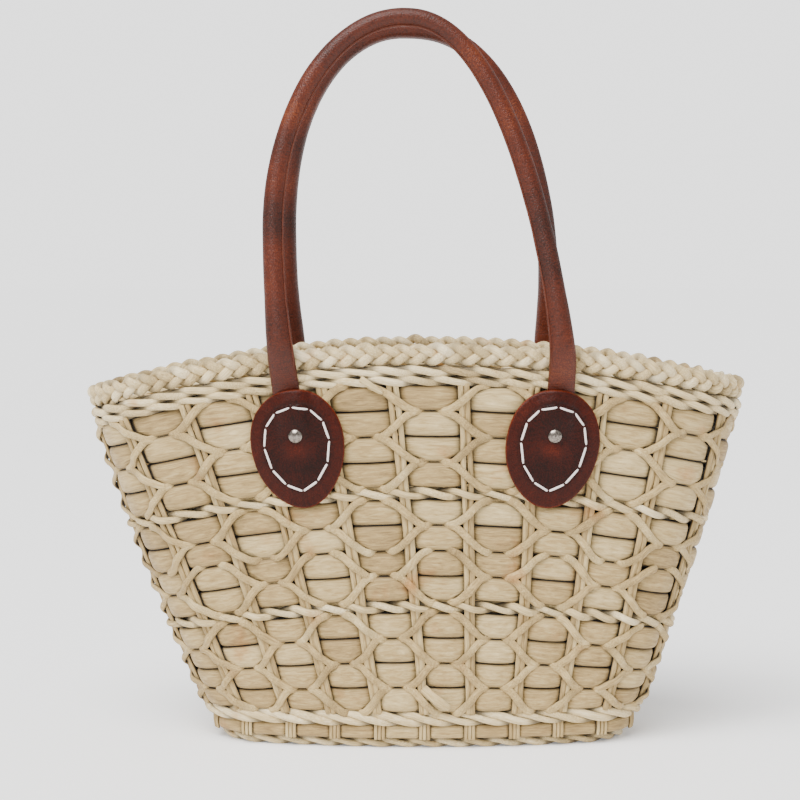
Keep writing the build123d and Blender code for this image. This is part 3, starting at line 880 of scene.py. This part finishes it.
# The grooves between the plies are coloured darker: painted shade
shade = ramp(tree, plies.outputs["Fac"], [(0.1, "#c9b8b0"), (0.6, "#f1e7e1"), (1.0, "#fbf5f0")])
tree.links.new(shader.inputs["Base Color"], shade)
ridge = node(tree, "ShaderNodeBump", [("Height", plies.outputs["Fac"])], Strength=0.5, Distance=0.0003)
tree.links.new(shader.inputs["Normal"], ridge.outputs["Normal"])
shader.inputs["Roughness"].default_value = 0.6

nickel, tree, shader = new_material("nickel_plate_tumbled")
solid = node(tree, "ShaderNodeTexCoord")
SCUFF = 1.2 * MM
scuffs = node(tree, "ShaderNodeTexNoise", [("Vector", solid.outputs["Object"])], Scale=1 / SCUFF, Detail=4.0)
tone = ramp(tree, scuffs.outputs["Fac"], [(0.3, "#5b524b"), (0.7, "#988f86")])
tree.links.new(shader.inputs["Base Color"], tone)
dents = node(tree, "ShaderNodeBump", [("Height", scuffs.outputs["Fac"])], Strength=0.12, Distance=0.0003)
tree.links.new(shader.inputs["Normal"], dents.outputs["Normal"])
shader.inputs["Metallic"].default_value = 1.0
shader.inputs["Roughness"].default_value = 0.22

# %% [markdown]
# ## The leather tubes
# A handle is a strip of hide wrapped round a cord and closed along its inner edge, so a raw
# seam runs up one side of it. Each end is pressed flat to go under its tab. A hand-bent tube is
# never even: the arch leans to one side, and its left leg bows out more than its right.
# Both handles bend where they leave the rim.

# %% The line of each handle
# Sizes in millimetres. The crown is the top of the arch. A leg bows out to its spring, and above
# that it is a quarter of an oval up to the crown. roundness holds the oval's two powers, upwards
# and sideways: 2 and 2 make a plain ellipse, more makes it squarer and less makes it leaner.
# Below the spring, the leg draws in to its foot.
FOOT_OUT, FOOT_UP = 81, 196
ARCHES = {
    "front_handle": dict(
        crown=(-13, 459),
        left=dict(bow=93, spring=330, roundness=(2.0, 2.0)),
        right=dict(bow=84, spring=246, roundness=(1.4, 2.2)),
    ),
    "back_handle": dict(
        crown=(-14, 466),
        left=dict(bow=93, spring=325, roundness=(2.3, 2.0)),
        right=dict(bow=86, spring=300, roundness=(1.8, 2.5)),
    ),
}
HINGE = frame["joints"][0]["pos_m"][2]
HINGE_Y = -84.8 * MM
RIVET = (low("front_right_rivet") + high("front_right_rivet")) / 2
HUSK_FACE = float(wall(1.9, RIVET[2])[0][1])


def smooth_line(points, count):
    """A Catmull-Rom curve through the points, resampled to even steps."""
    points = np.array(points, float)
    ends = np.vstack([2 * points[0] - points[1], points, 2 * points[-1] - points[-2]])
    pieces = []
    for i in range(len(points) - 1):
        p0, p1, p2, p3 = ends[i : i + 4]
        t = np.linspace(0, 1, 24, endpoint=False)[:, None]
        square = 2 * p0 - 5 * p1 + 4 * p2 - p3
        cube = 3 * p1 - p0 - 3 * p2 + p3
        pieces.append(0.5 * (2 * p1 + (p2 - p0) * t + square * t**2 + cube * t**3))
    fine = np.vstack([*pieces, points[-1:]])
    far = np.concatenate([[0], np.cumsum(np.linalg.norm(np.diff(fine, axis=0), axis=1))])
    even = np.linspace(0, far[-1], count)
    return np.stack([np.interp(even, far, fine[:, i]) for i in range(fine.shape[1])], -1)


def leg_line(crown, hand, bow, spring, roundness):
    """Points up one leg, sideways and up, from its foot under the tab to the crown."""
    up = np.linspace(FOOT_UP, spring, 12, endpoint=False)
    drawn_in = ((spring - up) / (spring - FOOT_UP)) ** 1.8
    straight = np.stack([hand * (bow + (FOOT_OUT - bow) * drawn_in), up], -1)
    angle = np.linspace(0, math.pi / 2, 30)
    rise = np.sin(angle) ** (2 / roundness[0])
    reach = np.clip(np.cos(angle), 0, 1) ** (2 / roundness[1])
    oval = np.stack([crown[0] + (hand * bow - crown[0]) * reach, spring + (crown[1] - spring) * rise], -1)
    return np.vstack([straight, oval])


LEAN_IN = 0.0875  # how far a handle leans in for each unit it rises, 5 degrees


def handle_depth(height):
    """The tube's centre, front to back, at this height: pressed flat to the wall under the tab,
    out and over the rim, then leaning inwards above the hinge."""
    top = 500 * MM
    heights = [RIVET[2] - 8 * MM, 219 * MM, 230 * MM, 238 * MM, 247 * MM, HINGE, top]
    depths = [HUSK_FACE - 4.6 * MM, -74.3 * MM, -75.6 * MM, -79.7 * MM, -83.6 * MM, HINGE_Y]
    depths.append(HINGE_Y + LEAN_IN * (top - HINGE))
    return np.interp(height, heights, depths)


# %% The tube along its line
# Heights in metres, sizes in millimetres. The tube is pressed flat and wide at its foot and thins
# towards the crown.
WIDE_AT = dict(
    heights=[0.20, 0.228, 0.245, 0.262, 0.285, 0.40, 0.455],
    sizes=[16.5, 16.8, 16.6, 15.4, 13.6, 12.0, 11.6],
)
THICK_AT = dict(
    heights=[0.20, 0.230, 0.242, 0.256, 0.285, 0.40, 0.455],
    sizes=[3.0, 3.4, 8.0, 12.0, 12.6, 11.6, 11.2],
)


def make_handle(name, arch, front):
    left = leg_line(arch["crown"], -1, **arch["left"])
    right = leg_line(arch["crown"], 1, **arch["right"])
    flat = smooth_line(np.vstack([left, right[-2::-1]]), 420) * MM
    # Above the rim the arch sits a little lower than the line of its legs
    flat[:, 1] -= 3 * MM * bump_between(flat[:, 1], 0.24, 0.30)
    depth = handle_depth(flat[:, 1])
    depth[4:-4] = np.convolve(depth, np.ones(9) / 9, mode="valid")
    line = np.stack([flat[:, 0], depth * front, flat[:, 1]], -1)
    outward = np.tile([0.0, -1.0 * front, 0.0], (len(line), 1))
    slack = 1 + wobble(len(line), 34, 0.012, 5 if front > 0 else 6)
    wide, thick = (
        np.interp(line[:, 2], at["heights"], np.array(at["sizes"]) * MM) * slack for at in (WIDE_AT, THICK_AT)
    )
    dye = 0.12 + wobble(len(line), 26, 0.08, 15)
    tube = Pieces()
    tube.strand(line, outward, wide, thick, dye[:, None], sides=36)
    return tube.make(name, tube_leather), line, outward, wide, thick


def join_hinge(made):
    """Bakes the piece's placement into its mesh."""
    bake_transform(made)


# %% The tubes and their seams
SEAM_ANGLE = math.radians(24)  # from the inside of the arch round to its outer face
for handle, front in (("front_handle", 1), ("back_handle", -1)):
    face = handle.split("_")[0]
    tube, line, outward, wide, thick = make_handle(f"{face}_leather_tube", ARCHES[handle], front)
    step = np.gradient(line, axis=0)
    ahead = step / np.linalg.norm(step, axis=1, keepdims=True)
    toward = np.cross(ahead, outward) * front
    seam_line = line + toward * (wide / 2 * math.cos(SEAM_ANGLE))[:, None]
    seam_line = seam_line + outward * (thick / 2 * math.sin(SEAM_ANGLE))[:, None]
    seam_out = toward * math.cos(SEAM_ANGLE) + outward * math.sin(SEAM_ANGLE)
    shown = line[:, 2] > 0.232
    seam_line, seam_out = seam_line[shown], seam_out[shown]
    rough = 1 + wobble(len(seam_line), 90, 0.12, 61)
    seam = Pieces()
    seam_line = seam_line + seam_out * 0.1 * MM
    seam.strand(seam_line, seam_out, 1.5 * MM * rough, 1.1 * MM, 0.3, sides=8, power=3)
    lip = seam.make(f"{face}_tube_seam", edge_leather)
    join_hinge(tube)
    join_hinge(lip)
    ends = [f"{face}_{side}_sleeve_end" for side in ("left", "right")]
    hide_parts(f"{handle}_sleeve", f"{handle}_core", *ends)

# %% [markdown]
# ## The tabs
# Each tab is an egg of thick hide lying over the end of a tube. The rivet pulls its middle in,
# the tube swells it above, and its pared edge turns down towards the wall. Twelve long stitches
# go round it, with a point at the bottom where the thread starts and ends.

# %% The shape of a tab
TAB = dict(half=29 * MM, above=28.4 * MM, below=46 * MM)
STITCHED = dict(half=20.4 * MM, above=18.4 * MM, below=33.6 * MM, pointed=1.4 * MM)
TAB_DROP = 5 * MM
TAB_STANDOFF = 5.0 * MM
TAB_THICK = 2.6 * MM
TAB_LEAN = math.radians(6)


def egg(angle, half, above, below, pointed=0.0):
    """A point on an egg round the rivet. Angle 0 is to the right, and the foot can have a point."""
    c, s = np.cos(angle), np.sin(angle)
    reach = np.where(s > 0, above + TAB_DROP, below - TAB_DROP)
    squarer = np.where(s > 0, 0.94, 1.0)
    narrower = 1 - 0.06 * np.where(s < 0, s * s, 0.0)
    x = half * np.sign(c) * np.abs(c) ** squarer * narrower
    from_foot = np.mod(angle + math.pi / 2 + math.pi, 2 * math.pi) - math.pi
    tip = pointed * np.exp(-((from_foot / 0.3) ** 2))
    y = reach * np.sign(s) * np.abs(s) ** squarer - TAB_DROP - tip
    return x, y


def tab_height(x, y):
    """How far the tab's upper face stands off its lower plane at this point from the rivet."""
    over_tube = 3.0 * MM * np.exp(-((x / (9.5 * MM)) ** 4)) * bump_between(y, -16 * MM, 4 * MM)
    cushion = 1.6 * MM * np.exp(-((x / (20 * MM)) ** 2 + ((y + 6 * MM) / (27 * MM)) ** 2))
    dimple = 2.6 * MM * np.exp(-((x**2 + y**2) / (7.5 * MM) ** 2))
    return TAB_THICK + over_tube + cushion - dimple


def tab_frame(hand, front):
    """The tab's centre on the wall with its right, up and outward directions, seen from outside."""
    centre = np.array([hand * RIVET[0], front * HUSK_FACE, RIVET[2]])
    column = np.interp(RIVET[0], wall(np.linspace(1, 3, 60), RIVET[2])[0][:, 0], np.linspace(1, 3, 60))
    _, out, _ = wall(column, RIVET[2])
    out = out * [hand, front, 1]
    right = np.cross([0, 0, 1.0], out)
    right /= np.linalg.norm(right)
    up = np.cross(out, right)
    turn = TAB_LEAN * hand * front
    c, s = math.cos(turn), math.sin(turn)
    return centre, right * c - up * s, up * c + right * s, out


def on_tab(place, x, y, z):
    """Points at x to the right, y up and z out from the rivet, in the tab's own frame."""
    centre, right, up, out = place
    return centre + x[..., None] * right + y[..., None] * up + z[..., None] * out


# %% The egg of hide
TAB_POINTS = 128
TURNED_DOWN = 1.5 * MM
SHARES = np.concatenate([np.linspace(0.02, 0.93, 38), [0.955, 0.975, 0.99, 1.0]])
# The under face, from the edge back to the middle: how far out it is, its height and its tint
UNDER_SHARES = np.array([1.0, 0.985, 0.5, 0.02])
UNDER_HEIGHTS = np.array([-0.7, -1.2, 0.2, 0.2]) * MM
UNDER_TINTS = [0.4, 0.4, 0.3, 0.3]


def make_hide(place, seed):
    """One tab: its upper face, its rounded edge and its under face."""
    angles = np.linspace(0, 2 * math.pi, TAB_POINTS, endpoint=False)
    waver = 1 + wobble(TAB_POINTS, 9, 0.006, seed)
    edge_x, edge_y = egg(angles, **TAB)
    edge_x, edge_y = edge_x * waver, edge_y * waver
    x, y = SHARES[:, None] * edge_x, SHARES[:, None] * edge_y
    turned_down = TURNED_DOWN * bump_between(SHARES, 0.6, 1.0) ** 1.5
    rounding = 0.8 * MM * np.clip((SHARES - 0.95) / 0.05, 0, 1) ** 2
    groove = 0.5 * MM * np.exp(-(((SHARES - 0.72) / 0.025) ** 2))
    top = TAB_STANDOFF + tab_height(x, y) - (turned_down + rounding + groove)[:, None]
    under = TAB_STANDOFF + UNDER_HEIGHTS[:, None] + np.zeros((1, TAB_POINTS))
    under_x, under_y = UNDER_SHARES[:, None] * edge_x, UNDER_SHARES[:, None] * edge_y
    sheet = on_tab(place, np.vstack([x, under_x]), np.vstack([y, under_y]), np.vstack([top, under]))
    # The dye has rubbed off outside the stitches and at the cut edge. The lighter spot just below the rivet
    # is a painted highlight
    rubbed = 0.02 + 0.15 * bump_between(SHARES, 0.70, 0.84) + 0.3 * (SHARES > 0.985)
    painted_highlight = 0.30 * np.exp(-((x / (9 * MM)) ** 2 + ((y + 9 * MM) / (6 * MM)) ** 2))
    tints = np.vstack([rubbed[:, None] + painted_highlight, np.tile(np.array(UNDER_TINTS)[:, None], (1, TAB_POINTS))])
    along = np.concatenate([SHARES, [1.01, 1.02, 1.3, 1.6]]) * TAB["half"]
    hide = Pieces()
    numbers = hide.grid(sheet, along, angles * TAB["half"], tints)
    hide.cap(numbers[0])
    hide.cap(numbers[-1][::-1])
    return hide


# %% The stitches
STITCHES = 12
STITCH_THICK = 1.45 * MM


def make_stitches(place):
    """Long stitches end to end round the egg, each proud in its middle and sunk at its ends."""
    stitches = Pieces()
    ends = np.radians(-90 + 360 / STITCHES * np.arange(STITCHES + 1)) + 0.02
    hole_x, hole_y = egg(ends, **STITCHED)
    t = np.linspace(0.06, 0.94, 15)
    from_middle = (2 * t - 1) ** 6
    for k in range(STITCHES):
        x = hole_x[k] + (hole_x[k + 1] - hole_x[k]) * t
        y = hole_y[k] + (hole_y[k + 1] - hole_y[k]) * t
        proud = 0.75 * MM * (1 - from_middle) - 0.55 * MM
        path = on_tab(place, x, y, TAB_STANDOFF + tab_height(x, y) - 0.35 * MM + proud)
        thick = STITCH_THICK * (1 - 0.45 * from_middle) * rng.uniform(0.92, 1.06)
        tint = rng.uniform(0.3, 0.7)
        stitches.strand(path, np.tile(place[3], (15, 1)), thick, thick * 0.75, tint, sides=12)
    return stitches


# %% The rivet's head
HEAD_RADII = np.array([0.05, 0.8, 1.8, 2.8, 3.5, 4.0, 4.3, 4.5, 4.5, 4.2]) * MM
HEAD_HEIGHTS = np.array([2.6, 2.55, 2.35, 1.95, 1.5, 1.1, 0.75, 0.45, 0.2, -0.4]) * MM


def make_rivet(place):
    """A low dome turned from its profile, seated in the tab's dimple."""
    turn = np.linspace(0, 2 * math.pi, 40, endpoint=False)
    seat = TAB_STANDOFF + float(tab_height(np.array(0.0), np.array(0.0))) + 0.1 * MM
    x, y = HEAD_RADII[:, None] * np.cos(turn), HEAD_RADII[:, None] * np.sin(turn)
    dome = on_tab(place, x, y, (seat + HEAD_HEIGHTS)[:, None] + 0 * turn)
    head = Pieces()
    numbers = head.grid(dome, HEAD_RADII, turn * 4 * MM)
    head.cap(numbers[0])
    head.cap(numbers[-1][::-1])
    return head


# %% The four corners
for corner in ("front_left", "front_right", "back_left", "back_right"):
    face, hand_name = corner.split("_")
    front = 1 if face == "front" else -1
    hand = -1 if hand_name == "left" else 1
    place = tab_frame(hand, front)
    hide = make_hide(place, 77 + 2 * (front > 0) + (hand > 0))
    basket_piece(hide, f"{corner}_egg_tab", tab_leather, "tab_leather", f"{corner}_tab")
    stitches = make_stitches(place)
    basket_piece(stitches, f"{corner}_stitches", thread, "white_thread", f"{corner}_tab_stitching")
    head = make_rivet(place)
    basket_piece(head, f"{corner}_rivet_head", nickel, "nickel", f"{corner}_rivet")
    # The patch and the back cap are the CAD's own shapes
    for part, material in (("backing_patch", patch_leather), ("rivet_back_cap", nickel)):
        mesh = frame["nodes"][f"{corner}_{part}"].data
        mesh.materials.clear()
        mesh.materials.append(material)
